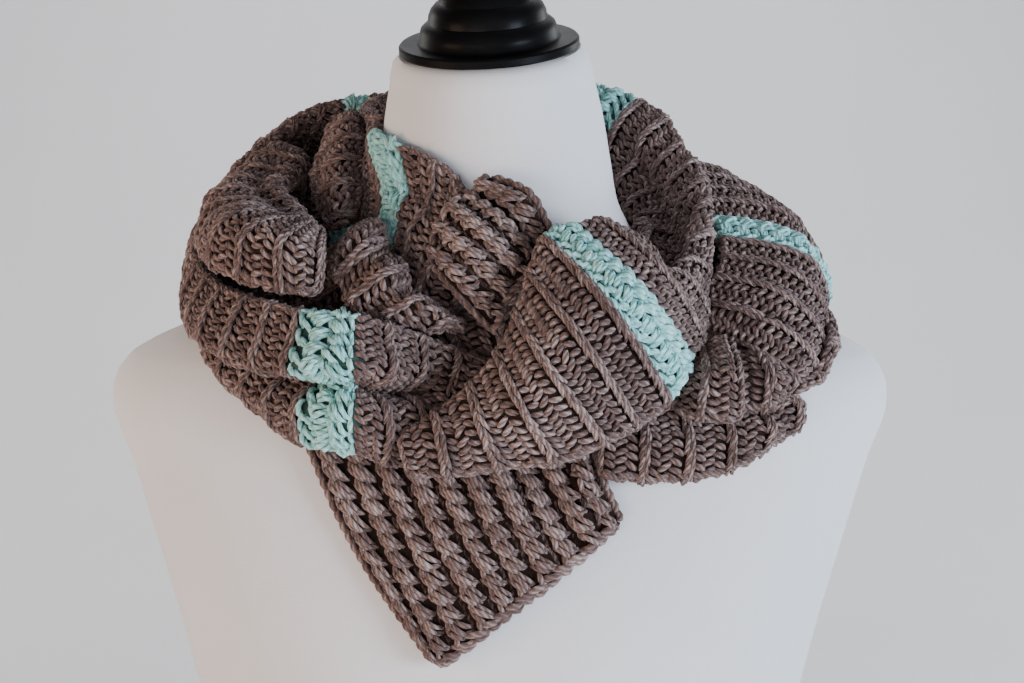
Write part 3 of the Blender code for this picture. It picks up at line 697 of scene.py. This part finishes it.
def end_paths(cloth, bulk):
    """Centre lines of the strands that bind the two short ends of a run, and stand out by their bulk."""
    way = np.linspace(-END_REACH, END_REACH, RINGS) * EDGE_CHART.repeat
    bow = np.cos(np.linspace(-END_BOW, END_BOW, RINGS))
    outward = bulk * (0.6 + 0.8 * bow)
    sideways = bulk * 1.1 * bow
    paths = []
    for row, inner in ((0, 1), (-1, -2)):
        line = cloth.middle[row]
        out = unit(line - cloth.middle[inner])
        length = distances(line)
        count = max(2, round(length[-1] / EDGE_CHART.repeat))
        for k in range(count):
            for side in (-1, 1):
                at = np.clip((k + 0.5 + side * 0.25) * length[-1] / count + way, 0, length[-1])
                base, away, over = [read_along(at, length, v) for v in (line, out, cloth.facing[row])]
                paths.append(base + away * outward[:, None] + over * (side * sideways)[:, None])
    return np.array(paths)


def strand_paths(cloth, strands, dice):
    """Centre lines on the cloth, one for each strand, bowed up in the middle."""
    place, share, angle, length, _, lift, arch, sink, _ = strands.T
    count = len(place)
    angle = np.radians(angle + dice.normal(0, ANGLE_JITTER, count))
    length = length * dice.normal(1, LENGTH_JITTER, count)
    lift = lift + dice.normal(0, PLACE_JITTER, count)
    loop = cloth.loop_at(place)
    place = place + dice.normal(0, PLACE_JITTER, count)
    share = share + dice.normal(0, PLACE_JITTER, count) / loop
    way = np.linspace(-0.5, 0.5, RINGS)[None, :]
    places = place[:, None] + way * (length * np.cos(angle))[:, None]
    shares = share[:, None] + way * (length * np.sin(angle) / loop)[:, None]
    bow = np.cos(way * math.pi * BOW_TURN) ** BOW_POWER
    height = lift[:, None] + arch[:, None] * bow - sink[:, None] * (1 - bow)
    out = cloth.at(cloth.normals, places, shares)
    return cloth.at(cloth.points, places, shares) + out * height[:, :, None]


def tubes(paths, radii, ups):
    """Points, faces and yarn coordinates of round strands along centre lines."""
    count = len(paths)
    way = unit(np.gradient(paths, axis=1))
    side = unit(np.cross(way, ups))
    up = np.cross(side, way)
    turn = 2 * math.pi * np.arange(SIDES) / SIDES
    thick = radii[:, None] * TAPER[None, :]
    ring = (side[:, :, None] * np.cos(turn)[None, None, :, None]
            + up[:, :, None] * np.sin(turn)[None, None, :, None])
    points = paths[:, :, None] + ring * thick[:, :, None, None]
    number = np.arange(count * RINGS * SIDES).reshape(count, RINGS, SIDES)
    after = np.roll(number, -1, axis=2)
    quads = np.stack([number[:, :-1], after[:, :-1], after[:, 1:], number[:, 1:]], axis=-1)
    steps = np.linalg.norm(np.diff(paths, axis=1), axis=2)
    length = np.pad(np.cumsum(steps, axis=1), ((0, 0), (1, 0)))
    around = np.arange(SIDES + 1) / SIDES
    shape = (count, RINGS - 1, SIDES)
    near, far = [np.broadcast_to(at[:, :, None], shape) for at in (length[:, :-1], length[:, 1:])]
    low, high = [np.broadcast_to(at, shape) for at in (around[:-1], around[1:])]
    corners = [np.stack(pair, -1) for pair in ((near, low), (near, high), (far, high), (far, low))]
    return points.reshape(-1, 3), quads.reshape(-1, 4), np.stack(corners, axis=-2).reshape(-1, 2)


def quad_mesh(name, points, quads):
    """A smooth mesh from points in millimetres, with heights from the shoulder line."""
    mesh = bpy.data.meshes.new(name)
    world = (points + np.array([0, 0, SHOULDER_LINE])) * MM
    mesh.vertices.add(len(world))
    mesh.vertices.foreach_set("co", world.ravel())
    mesh.loops.add(quads.size)
    mesh.loops.foreach_set("vertex_index", quads.ravel())
    mesh.polygons.add(len(quads))
    mesh.polygons.foreach_set("loop_start", np.arange(0, quads.size, 4))
    mesh.update(calc_edges=True)
    mesh.validate()
    mesh.shade_smooth()
    return mesh


def attach(mesh, name, values):
    """A number at each point of a mesh, for its material to read."""
    layer = mesh.attributes.new(name, "FLOAT", "POINT")
    layer.data.foreach_set("value", np.asarray(values, np.float32))


def add_object(name, data):
    """A new object in the scene, made of a mesh, a lamp or a camera."""
    made = bpy.data.objects.new(name, data)
    bpy.context.scene.collection.objects.link(made)
    return made


def add_piece(name, mesh, material):
    """An object that shows a mesh in one material and moves with the part."""
    piece = add_object(name, mesh)
    mesh.materials.append(material)
    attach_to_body(piece, "root")
    return piece


def yarn_piece(name, cloth, strands, ends, bulk, material, dice):
    """One joined mesh of strands, with the colour of each and its tone, partly random and partly painted
    light and shade by how far it rises or sinks.
    """
    bind = EDGE_CHART.strands[0]
    stretch = np.clip(cloth.at(cloth.stretch, strands[:, 0], strands[:, 1]), *THICKNESS_LIMITS)
    radii = strands[:, 4] * (1 + 0.5 * (stretch - 1) * np.abs(np.sin(np.radians(strands[:, 2]))))
    ups = cloth.at(cloth.normals, strands[:, 0], strands[:, 1])
    paths = np.concatenate([strand_paths(cloth, strands, dice), ends.reshape(-1, RINGS, 3)])
    radii = np.append(radii, np.full(len(ends), bind.radius * bulk))
    lift = np.append(strands[:, 5], np.full(len(ends), bind.lift))
    band = np.append(strands[:, 8], np.zeros(len(ends)))
    ups = np.concatenate([ups, np.tile(END_UP, (len(ends), 1))])
    points, quads, corners = tubes(paths, radii, ups[:, None])
    mesh = quad_mesh(name, points, quads)
    layer = mesh.uv_layers.new(name="yarn")
    layer.data.foreach_set("uv", corners.ravel())
    # Tone: a random part, plus painted shade that darkens strands sunk into the cloth and painted light that
    # lightens raised ones
    tone_and_depth_shade = dice.random(len(paths)) * 0.8 + lift * 0.12 + np.minimum(lift, 0) * 0.4
    attach(mesh, "tone_and_depth_shade", np.repeat(tone_and_depth_shade, RINGS * SIDES))
    attach(mesh, "band", np.repeat(band, RINGS * SIDES))
    return add_piece(name, mesh, material)


def shell_piece(cloth, material):
    """The cloth under the strands, coloured dark as painted shade for the gaps between them, closed at both
    ends.
    """
    stations = np.unique(np.append(np.arange(0, len(cloth.places), SHELL_SKIP), len(cloth.places) - 1))
    points = cloth.points[stations][:, ::SHELL_SKIP]
    count, loop = points.shape[:2]
    number = np.arange(count * loop).reshape(count, loop)
    k = np.arange(loop // 2)
    first = np.stack([number[0, k], number[0, k + 1], number[0, -k - 1], number[0, -k]], axis=1)
    last = np.stack([number[-1, k], number[-1, -k], number[-1, -k - 1], number[-1, k + 1]], axis=1)
    quads = np.concatenate([loop_quads(number), first[1:-1], last[1:-1]])
    mesh = quad_mesh(cloth.name + "_cloth", points.reshape(-1, 3), quads)
    attach(mesh, "band", np.repeat(cloth.mint_at(cloth.places[stations]), loop))
    return add_piece(cloth.name + "_cloth", mesh, material)


def cover_tree(cloths):
    """All the cloth as one surface, to look for what covers a strand."""
    points, faces, start = [], [], 0
    for cloth in cloths:
        total = len(cloth.places) * LOOP_POINTS
        number = np.arange(total).reshape(-1, LOOP_POINTS)[:, ::COVER_SKIP]
        points.append(cloth.points.reshape(-1, 3))
        faces.append(loop_quads(number) + start)
        start += total
    return BVHTree.FromPolygons(np.concatenate(points).tolist(), np.concatenate(faces).tolist())


def covered(tree, cloth, strands):
    """Whether the cloth next to each strand, or the form, covers it from every side."""
    place, share = strands[:, 0], strands[:, 1]
    at = cloth.at(cloth.points, place, share)
    out = cloth.at(cloth.normals, place, share)
    side = unit(cloth.at(cloth.points, place, share + 0.01) - at)
    along = np.cross(out, side)
    hidden = np.ones(len(strands), bool)
    for tip, turn in COVER_RAYS:
        way = unit(out * math.cos(tip) + side * math.sin(tip) * math.cos(turn)
                   + along * math.sin(tip) * math.sin(turn))
        for i in np.flatnonzero(hidden):
            start = Vector(at[i] + out[i] * COVER_START)
            hidden[i] = tree.ray_cast(start, Vector(way[i]), COVER_REACH)[0] is not None
        seen = np.flatnonzero(~hidden)
        if len(seen):
            far = at[seen] + way[seen] * COVER_REACH * 0.8
            hidden[seen] = (outside_form(far)[0] < 0) & (far[:, 2] < FORM_TOP)
    return hidden


def dress(run, cloth, tree, finishes, dice):
    """A run of cloth in place of its solids: its shell, and its strands cut up by solid."""
    last_row = len(run.rows) - 1
    nodes = run.nodes or ((run.name, 0, last_row),)
    shell = shell_piece(cloth, finishes["shell"])
    strands = rib_stitches(cloth) if run.ribbed else stitches(cloth)
    strands = strands[~covered(tree, cloth, strands)]
    bulk = RIB_BULK if run.ribbed else 1.0
    ends = end_paths(cloth, bulk)
    half = len(ends) // 2
    for node, first, last in nodes:
        start = cloth.row_place(first) if first else -PAST_END
        end = cloth.row_place(last) if last < last_row else cloth.length + PAST_END
        inside = strands[(strands[:, 0] >= start) & (strands[:, 0] < end)]
        mine = np.concatenate([ends[:half] if node == nodes[0][0] else ends[:0],
                               ends[half:] if node == nodes[-1][0] else ends[:0]])
        yarn_piece(node + "_stitches", cloth, inside, mine, bulk, finishes["yarn"], dice)
    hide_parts(*[node for node, _, _ in nodes])


def joined_rings(name, rings, material, node):
    """A smooth closed piece through rings of points in metres, in place of its solid."""
    mesh = bmesh.new()
    lines = [[mesh.verts.new(point) for point in ring] for ring in rings]
    for low, high in zip(lines, lines[1:]):
        for k, corner in enumerate(low):
            m = (k + 1) % len(low)
            mesh.faces.new((corner, low[m], high[m], high[k]))
    mesh.faces.new(lines[0][::-1])
    mesh.faces.new(lines[-1])
    bmesh.ops.recalc_face_normals(mesh, faces=mesh.faces)
    data = bpy.data.meshes.new(name)
    mesh.to_mesh(data)
    mesh.free()
    data.shade_smooth()
    data.set_sharp_from_angle(angle=math.radians(SHARP_ANGLE))
    piece = add_piece(name, data, material)
    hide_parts(node)
    return piece


def form_cover(material):
    """The torso and neck under their jersey, as smooth rings close together."""
    heights = np.unique(np.concatenate([np.arange(FORM_RINGS[0].height, NECK_TOP, FORM_STEP),
                                        [ring.height for ring in FORM_RINGS]]))
    turns = 2 * math.pi * np.arange(FORM_SIDES) / FORM_SIDES
    c, s = np.cos(turns), np.sin(turns)
    rings = []
    for height in heights:
        sizes, squareness = form_ring(np.array([height]))
        power = 2 / squareness[0]
        half_width, front, back = sizes[0]
        lean = min(max((height - NECK_FOOT) / (NECK_TOP - NECK_FOOT), 0), 1)
        x = np.sign(c) * np.abs(c) ** power * half_width
        y = np.sign(s) * np.abs(s) ** power * np.where(s > 0, back, front)
        drop = y * math.sin(math.radians(CAP_TILT_FORWARD)) + x * math.sin(math.radians(CAP_TILT_SIDE))
        z = height + SHOULDER_LINE + drop * lean
        rings.append(np.column_stack([x + NECK_LEAN_X * lean, y, z]) * MM)
    piece = joined_rings("form_cover", rings, material, "dress_form")


def turned(name, profile, lift, material, node):
    """A turned piece on the tilted top of the neck, its foot lifted above the neck's top."""
    forward, sideways = math.radians(CAP_TILT_FORWARD), math.radians(CAP_TILT_SIDE)
    tilt = Euler((forward, -sideways, 0)).to_matrix()
    foot = np.array([NECK_LEAN_X, (FORM_RINGS[-1].back - FORM_RINGS[-1].front) / 2 + CAP_BACK, NECK_TOP])
    up = heading(np.zeros(3), np.array([math.sin(-sideways), -math.sin(forward), 1]))
    start = (foot + np.array([0, 0, SHOULDER_LINE - CAP_SINK]) + up * (lift + CAP_SINK)) * MM
    turns = 2 * math.pi * np.arange(CAP_SIDES) / CAP_SIDES
    rings = []
    for radius, height in profile:
        line = [(radius * math.cos(a), radius * math.sin(a), height) for a in turns]
        rings.append([Vector(start) + tilt @ (Vector(point) * MM) for point in line])
    piece = joined_rings(name, rings, material, node)


class Link:
    """A socket of a material's nodes, which adds nodes as sums are written with it."""

    def __init__(self, tree, socket):
        self.tree = tree
        self.socket = socket

    def node(self, kind, settings=None, values=None, output=0):
        """A new node of any kind, with its settings first and then its values or links."""
        made = self.tree.nodes.new(kind)
        for key, value in (settings or {}).items():
            setattr(made, key, value)
        for key, value in (values or {}).items():
            if isinstance(value, Link):
                self.tree.links.new(value.socket, made.inputs[key])
            else:
                made.inputs[key].default_value = value
        return Link(self.tree, made.outputs[output])

    def math(self, operation, other=0.0):
        return self.node("ShaderNodeMath", {"operation": operation}, {0: self, 1: other})

    def __add__(self, other):
        return self.math("ADD", other)

    def __sub__(self, other):
        return self.math("SUBTRACT", other)

    def __mul__(self, other):
        return self.math("MULTIPLY", other)

    def sine(self):
        return self.math("SINE")

    def held(self):
        return self.node("ShaderNodeClamp", {}, {"Value": self})

    def mix(self, low, high):
        """The colour low where this is 0, and high where it is 1."""
        return self.node("ShaderNodeMix", {"data_type": "RGBA"}, {0: self, 6: low, 7: high}, 2)

    def bump(self, strength, distance):
        return self.node("ShaderNodeBump", {}, {"Height": self, "Strength": strength, "Distance": distance})

    def noise(self, scale, detail=2.0, roughness=0.5):
        values = {"Vector": self, "Scale": scale, "Detail": detail, "Roughness": roughness}
        return self.node("ShaderNodeTexNoise", {}, values)

    def attribute(self, name):
        return self.node("ShaderNodeAttribute", {"attribute_name": name}, {}, "Fac")

    def ramp(self, *colours):
        """A colour that goes evenly through the given ones, from 0 to 1."""
        made = self.node("ShaderNodeValToRGB", {}, {0: self})
        elements = made.socket.node.color_ramp.elements
        while len(elements) < len(colours):
            elements.new(0.5)
        for k, colour in enumerate(colours):
            elements[k].position = k / (len(colours) - 1)
            elements[k].color = colour
        return made


def linear(red, green, blue):
    """A colour given as 0 to 255 in sRGB, for a socket."""
    parts = [c / 255 for c in (red, green, blue)]
    return tuple(c / 12.92 if c <= 0.04045 else ((c + 0.055) / 1.055) ** 2.4 for c in parts) + (1,)


MOCHA = (linear(48, 31, 26), linear(120, 96, 90), linear(208, 186, 179))
MINT = (linear(96, 158, 152), linear(168, 226, 222), linear(216, 244, 244))
# Painted shade: the dark colours of the cloth under the stitches, in brown and in mint
SHADOW_BROWN = (linear(30, 20, 17), linear(52, 38, 34))
SHADOW_MINT = (linear(44, 66, 62), linear(80, 108, 102))
WOOL_HALO = linear(190, 184, 192)
JERSEY = (linear(216, 212, 213), linear(234, 231, 232))
LACQUER = (linear(9, 9, 10), linear(18, 17, 18))
FLOOR = (linear(228, 228, 230), linear(236, 236, 238))


def finish_of(name, **uniform):
    """A material, its shader, and a place to start its sums from."""
    material = bpy.data.materials.new(name)
    material.use_nodes = True
    tree = material.node_tree
    shader = tree.nodes["Principled BSDF"]
    for socket, value in uniform.items():
        shader.inputs[socket.replace("_", " ")].default_value = value
    coordinates = tree.nodes.new("ShaderNodeTexCoord")
    return material, shader, Link(tree, coordinates.outputs["Object"])


def feed(shader, **values):
    """Links sums to the shader's sockets, named with _ for each space."""
    for socket, value in values.items():
        value.tree.links.new(value.socket, shader.inputs[socket.replace("_", " ")])


def yarn_finish():
    """Spun wool: plies twisted round each other, a heather of lighter fibres, and a soft halo."""
    material, shader, place = finish_of("yarn", Sheen_Weight=0.35, Sheen_Roughness=0.45, Roughness=0.85,
                                        Specular_IOR_Level=0.2, Sheen_Tint=WOOL_HALO)
    yarn = place.node("ShaderNodeUVMap", {"uv_map": "yarn"})
    along, around = [yarn.node("ShaderNodeSeparateXYZ", {}, {0: yarn}, axis) for axis in (0, 1)]
    # The twist also sets the colour: painted shade darkens the grooves between the plies, while the bump
    # gives their real relief
    twist = ((along * PLY_TURN + around) * (2 * math.pi * PLIES)).sine() * 0.5 + 0.5
    fibres = place.noise(1500.0, 2.0, 0.7)
    blotch = place.noise(26.0)
    # The tone attribute carries painted light and shade as well as random tone
    shade = (place.attribute("tone_and_depth_shade") * 0.36 + fibres * 0.5 + blotch * 0.4 - 0.3 + twist * 0.26).held()
    colour = place.attribute("band").mix(shade.ramp(*MOCHA), shade.ramp(*MINT))
    feed(shader, Base_Color=colour, Normal=(twist + fibres * 0.35).bump(0.9, 0.0007))
    return material


def shell_finish():
    """Painted shade for the gaps between the stitches: the cloth under them is coloured dark, as the shade
    down there.
    """
    material, shader, place = finish_of("painted_gap_shade", Roughness=0.95, Specular_IOR_Level=0.1)
    fibres = place.noise(700.0, 3.0)
    colour = place.attribute("band").mix(fibres.mix(*SHADOW_BROWN), fibres.mix(*SHADOW_MINT))
    feed(shader, Base_Color=colour, Normal=fibres.bump(0.8, 0.001))
    return material


def jersey_finish():
    """Fine knitted cover, pulled smooth over the form."""
    material, shader, place = finish_of("jersey", Roughness=0.82, Specular_IOR_Level=0.25,
                                        Sheen_Weight=0.12, Sheen_Roughness=0.5)
    rows = place.node("ShaderNodeTexWave", {"bands_direction": "Z"},
                      {"Vector": place, "Scale": 320.0, "Distortion": 1.5, "Detail": 1.0})
    mottle = place.noise(900.0, 3.0)
    grain = (mottle * 0.4 + place.noise(14.0) * 0.6).held()
    feed(shader, Base_Color=grain.mix(*JERSEY), Normal=(rows * 0.4 + mottle * 0.6).bump(0.22, 0.0003))
    return material


def lacquer_finish():
    """Turned wood under black lacquer."""
    material, shader, place = finish_of("lacquer", Coat_Weight=0.02, Coat_Roughness=0.15,
                                        Roughness=0.3, Specular_IOR_Level=0.05)
    grain = place.noise(60.0, 4.0)
    feed(shader, Base_Color=grain.mix(*LACQUER), Roughness=grain * 0.22 + 0.28,
         Normal=place.noise(400.0).bump(0.08, 0.0003))
    return material


def floor_finish():
    """Matt pale paper."""
    material, shader, place = finish_of("floor", Roughness=0.85)
    feed(shader, Base_Color=place.noise(4.0).mix(*FLOOR))
    return material


# The pale sweep: half its width, where its flat floor ends at the back, its bend, its wall, and its middle
SWEEP_HALF = 5
SWEEP_FLAT = 1.4
SWEEP_BEND = 0.9
SWEEP_WALL = 4.5
SWEEP_MIDDLE = -0.9

Lamp = namedtuple("Lamp", "name place aim size power colour", defaults=((1.0, 1.0, 1.0),))
LAMPS = (
    Lamp("key", (1.8, -1.3, 0.55), (0, 0, 0.5), (0.9, 0.8), 62, (0.72, 0.85, 1)),
    Lamp("front", (-0.7, -2.0, 0.28), (0, 0, 0.48), (1.1, 0.45), 12, (1, 0.93, 0.87)),
    Lamp("fill", (-1.8, -1, 0.4), (0, 0, 0.45), (1, 0.9), 23, (1, 0.7, 0.48)),
    Lamp("top", (0.2, 0.5, 2.3), (0, 0.1, 0.5), (1.4, 1.4), 3),
    Lamp("rear_right", (1.5, 1.25, 0.95), (0, 0, 0.52), (0.8, 0.8), 16, (0.9, 0.95, 1)),
    Lamp("wall", (0, -1.9, 1.7), (0, -4.1, 1.3), (2.5, 0.8), 26),
    Lamp("rear_left", (-1.5, 1.25, 0.95), (0, 0, 0.52), (0.8, 0.8), 9, (1, 0.96, 0.9)),
    Lamp("back", (0, 1.9, 2.2), (0, 2.4, 0.6), (2.5, 1.5), 26),
)
ROOM_LIGHT = (0.9, 0.93, 1.0, 1)
ROOM_STRENGTH = 0.12

CAMERA_X = 0.006
CAMERA_REACH = 1.21
CAMERA_TILT = 7
CAMERA_LENS = 85
CAMERA_SENSOR = 36


def sweep():
    """A floor that bends up into a wall behind the part, and another in front of it."""
    bends = np.linspace(0.1, math.pi / 2, 12)
    back = [(SWEEP_FLAT, 0.0)]
    back += [(SWEEP_FLAT + SWEEP_BEND * math.sin(t), SWEEP_BEND - SWEEP_BEND * math.cos(t)) for t in bends]
    back.append((SWEEP_FLAT + SWEEP_BEND, SWEEP_WALL))
    profile = [(2 * SWEEP_MIDDLE - y, z) for y, z in reversed(back)] + back
    sheet = bmesh.new()
    left, right = [[sheet.verts.new((x, y, z)) for y, z in profile] for x in (-SWEEP_HALF, SWEEP_HALF)]
    for a, b, c, d in zip(left, left[1:], right[1:], right):
        sheet.faces.new((a, d, c, b))
    mesh = bpy.data.meshes.new("floor")
    sheet.to_mesh(mesh)
    sheet.free()
    mesh.shade_smooth()
    mesh.materials.append(floor_finish())
    floor = add_object("floor", mesh)


def hang(lamp):
    """One soft area lamp, which lights the part but isn't seen itself."""
    light = bpy.data.lights.new(lamp.name, "AREA")
    light.shape = "RECTANGLE"
    light.size, light.size_y = lamp.size
    light.energy = lamp.power
    light.color = lamp.colour
    holder = add_object(lamp.name, light)
    holder.location = lamp.place
    holder.rotation_euler = (Vector(lamp.aim) - Vector(lamp.place)).to_track_quat("-Z", "Y").to_euler()
    holder.visible_camera = False


def dim_room():
    """A little light from all round."""
    world = bpy.data.worlds.new("room")
    world.use_nodes = True
    background = world.node_tree.nodes["Background"]
    background.inputs["Color"].default_value = ROOM_LIGHT
    background.inputs["Strength"].default_value = ROOM_STRENGTH
    bpy.context.scene.world = world


def set_camera():
    """The camera at the photo's angle, a little above the shoulder line and tilted down to it."""
    view = bpy.data.cameras.new("view")
    view.lens = CAMERA_LENS
    view.sensor_width = CAMERA_SENSOR
    camera = add_object("view", view)
    tilt = math.radians(CAMERA_TILT)
    rise = SHOULDER_LINE * MM + CAMERA_REACH * math.sin(tilt)
    camera.location = (CAMERA_X, -CAMERA_REACH * math.cos(tilt), rise)
    camera.rotation_euler = (math.radians(90 - CAMERA_TILT), 0, 0)
    bpy.context.scene.camera = camera


def dress_scarf():
    """Every run of the scarf, in the order that the yarn's random draws are made."""
    finishes = {"yarn": yarn_finish(), "shell": shell_finish()}
    cloths = [Cloth(run) for run in RUNS]
    tree = cover_tree(cloths)
    dice = np.random.default_rng(7)
    for run, cloth in zip(RUNS, cloths):
        dress(run, cloth, tree, finishes, dice)


sweep()
for lamp in LAMPS:
    hang(lamp)
dim_room()
set_camera()
form_cover(jersey_finish())
lacquer = lacquer_finish()
turned("cap_turning", CAP_PROFILE, CAP_GAP, lacquer, "neck_cap")
turned("knob_turning", KNOB_PROFILE, CAP_HEIGHT + 2 * CAP_GAP, lacquer, "cap_knob")
dress_scarf()
